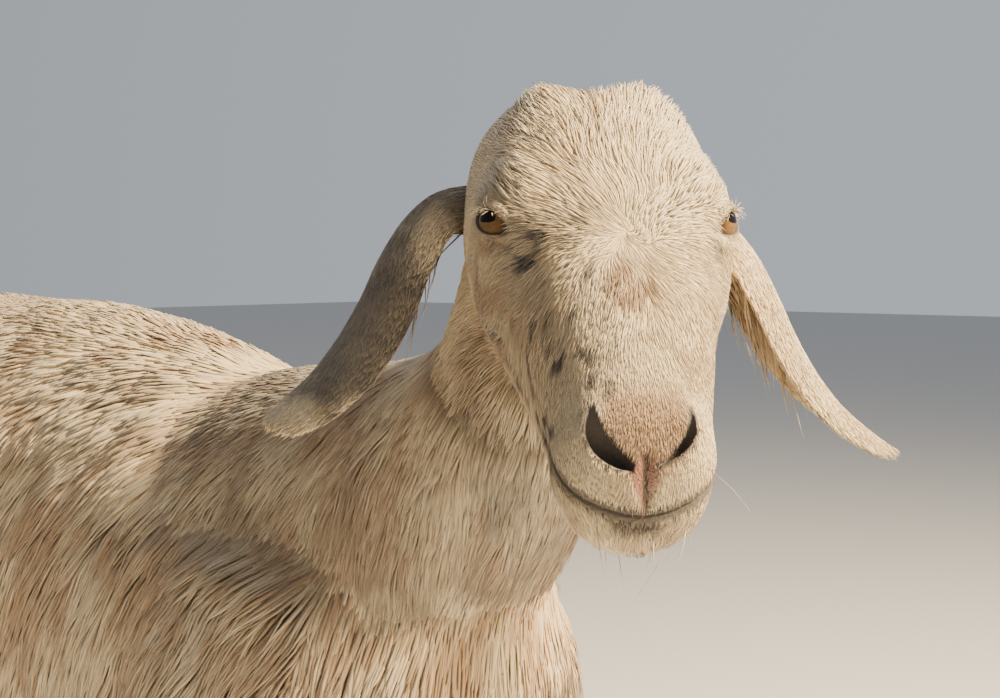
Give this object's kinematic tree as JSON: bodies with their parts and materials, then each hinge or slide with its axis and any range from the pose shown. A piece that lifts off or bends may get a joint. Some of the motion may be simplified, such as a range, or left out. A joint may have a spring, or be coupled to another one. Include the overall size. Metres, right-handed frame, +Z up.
{
  "type": "standing goat model",
  "caption": "Still life-size nanny goat standing on four cloven hooves, head turned to its right, long hanging ears, no horns, short raised tail.",
  "frame": {"origin": "on the floor, under the middle of the goat's bounding box", "axes": "+Z up; the goat faces -Y, and its right side is towards -X"},
  "size_m": [0.4044, 1.1982, 0.8919],
  "materials": {
    "coat": "cream-white hair with tan mottling",
    "eye": "wet amber eye with a level dark pupil",
    "hoof": "dull horn",
    "udder_skin": "bare pinkish skin"
  },
  "bodies": {
    "root": {"head": "coat", "neck": "coat", "torso": "coat", "tail": "coat", "leg_front_right": "coat", "leg_front_left": "coat", "leg_hind_right": "coat", "leg_hind_left": "coat", "ear_right": "coat", "ear_left": "coat", "eye_right": "eye", "eye_left": "eye", "hoof_front_right": "hoof", "hoof_front_left": "hoof", "hoof_hind_right": "hoof", "hoof_hind_left": "hoof", "udder": "udder_skin"}
  },
  "joints": []
}
